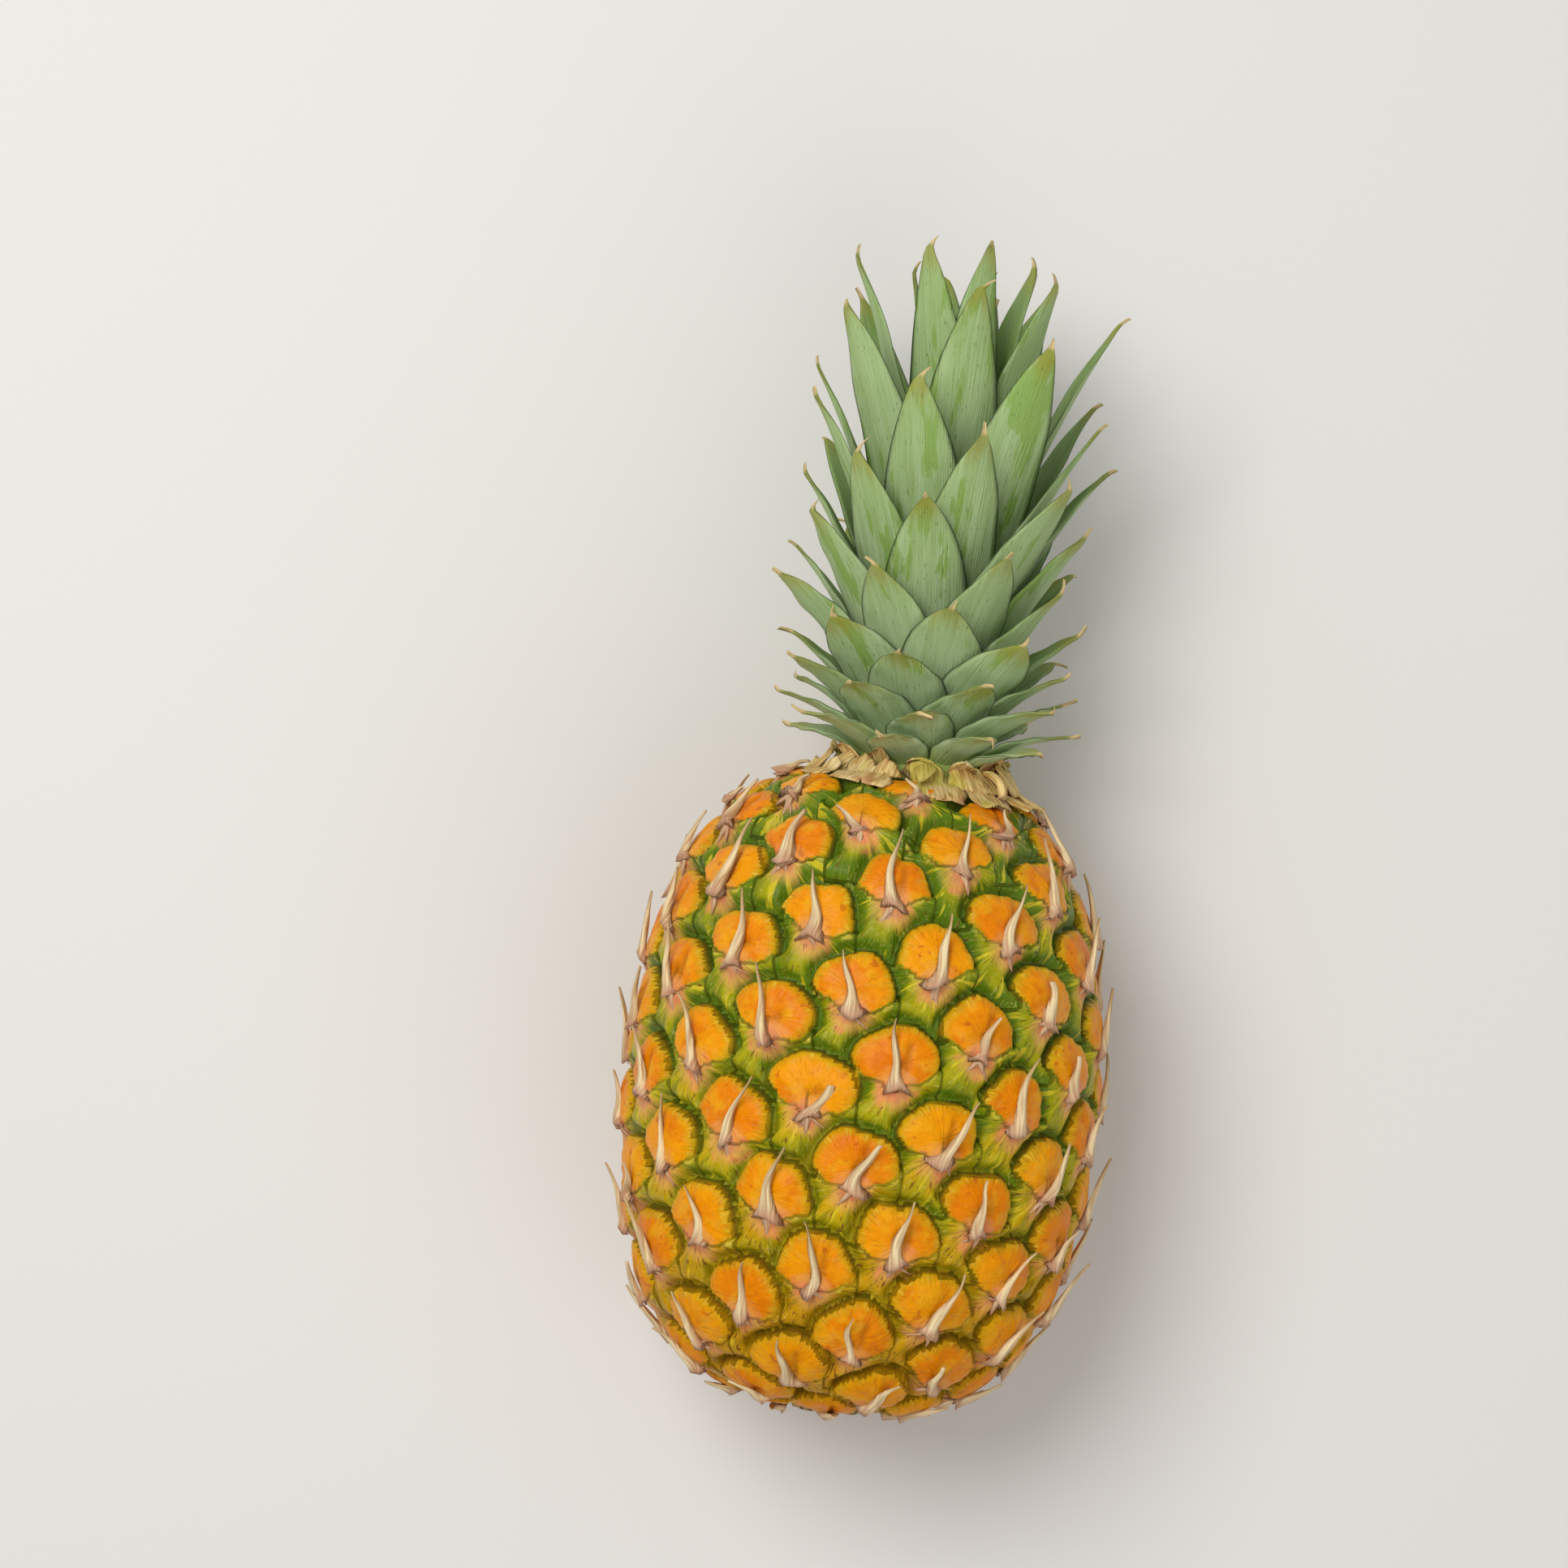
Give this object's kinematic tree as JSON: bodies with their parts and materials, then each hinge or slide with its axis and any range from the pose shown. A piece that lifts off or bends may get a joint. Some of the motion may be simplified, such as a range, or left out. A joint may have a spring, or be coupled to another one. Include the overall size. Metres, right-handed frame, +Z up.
{
  "type": "pineapple",
  "caption": "Whole ripe pineapple lying on its side: rind of raised round eyes with dry spines, cut stem stub, papery collar and leafy crown.",
  "frame": {"origin": "middle of the small flat spot that the fruit rests on, at floor level", "axes": "+Y along the fruit's axis towards the tip of the crown, +Z up, -Z into the surface that it lies on"},
  "size_m": [0.1228, 0.2853, 0.1167],
  "materials": {
    "rind": "ripe rind: orange eyes, yellow-green skirts, dark green grooves and tan dry spines",
    "cut_stem": "dry cut stem, fibrous and tan",
    "dry_bract": "papery dry bracts, tan-brown",
    "leaf": "stiff grey-green leaves with a pale wax bloom and darker edges"
  },
  "bodies": {
    "root": {"fruit": "rind", "stem_stub": "cut_stem", "collar": "dry_bract", "crown": "leaf"}
  },
  "joints": []
}
